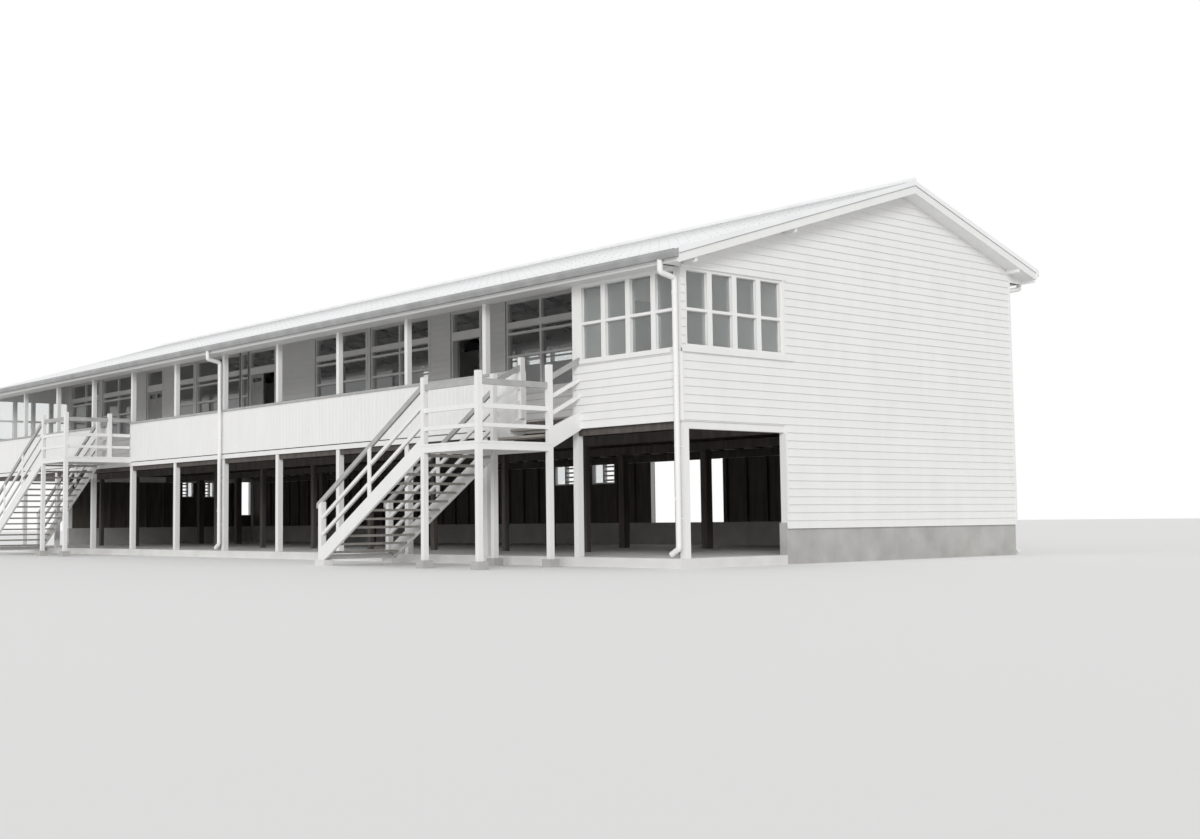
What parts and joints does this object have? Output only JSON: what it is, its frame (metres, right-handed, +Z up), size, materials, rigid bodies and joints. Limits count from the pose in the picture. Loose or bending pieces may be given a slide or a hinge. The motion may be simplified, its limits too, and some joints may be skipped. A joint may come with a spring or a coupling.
{
  "type": "high-set timber school building",
  "caption": "Long high-set timber classroom block with a gabled metal roof, a covered verandah over an open undercroft, and two outside timber stairs.",
  "frame": {"origin": "middle of the bounding box at ground level", "axes": "+X along the block towards the end with the enclosed verandah room, -Y towards the verandah front, +Z up"},
  "size_m": [30.0058, 11.722, 6.7304],
  "materials": {
    "white_timber": "off-white painted timber",
    "pale_timber": "grey painted timber",
    "dark_timber": "dark oiled hardwood",
    "floor_timber": "weathered hardwood boards",
    "concrete": "plain grey concrete",
    "roof_metal": "galvanised corrugated steel",
    "gutter_metal": "weathered grey galvanised steel",
    "white_metal": "painted steel",
    "glass": "clear window glass"
  },
  "bodies": {
    "root": {"undercroft_slab": "concrete", "base_wall": "concrete", "front_posts_lower": "white_timber", "inner_posts": "dark_timber", "floor_bearers": "dark_timber", "end_bearers": "white_timber", "floor_joists": "dark_timber", "verandah_floor": "floor_timber", "classroom_floor": "floor_timber", "gable_wall_near": "white_timber", "gable_wall_far": "white_timber", "classroom_front_wall": "white_timber", "front_wall_heads": "white_timber", "rear_wall": "white_timber", "room_front_wall": "white_timber", "room_partition": "white_timber", "verandah_posts": "white_timber", "verandah_beam": "white_timber", "verandah_window_frames": "white_timber", "window_sills": "white_timber", "front_window_frames": "white_timber", "door_frames": "white_timber", "rear_window_frames": "white_timber", "low_window_frames": "white_timber", "window_glass": "glass", "undercroft_louvres": "white_timber", "door_leaves": "pale_timber", "door_glass": "glass", "balustrade_boards": "white_timber", "balustrade_cap": "pale_timber", "floor_edge_board": "white_timber", "rafters": "dark_timber", "ridge_board": "dark_timber", "roof_battens": "dark_timber", "roof_front": "roof_metal", "roof_rear": "roof_metal", "ridge_cap": "roof_metal", "barge_boards": "white_timber", "barge_caps": "roof_metal", "verge_soffits": "white_timber", "outrigger_ends": "white_timber", "eave_fascias": "white_timber", "eave_soffits": "white_timber", "eave_ends": "white_timber", "gutters": "gutter_metal", "verandah_ceiling": "white_timber", "downpipes": "white_metal", "stair_posts": "white_timber", "stair_footings": "concrete", "stair_decks": "floor_timber", "deck_frames": "white_timber", "stringers": "white_timber", "treads": "floor_timber", "handrails": "pale_timber", "mid_rails": "white_timber"}
  },
  "joints": []
}
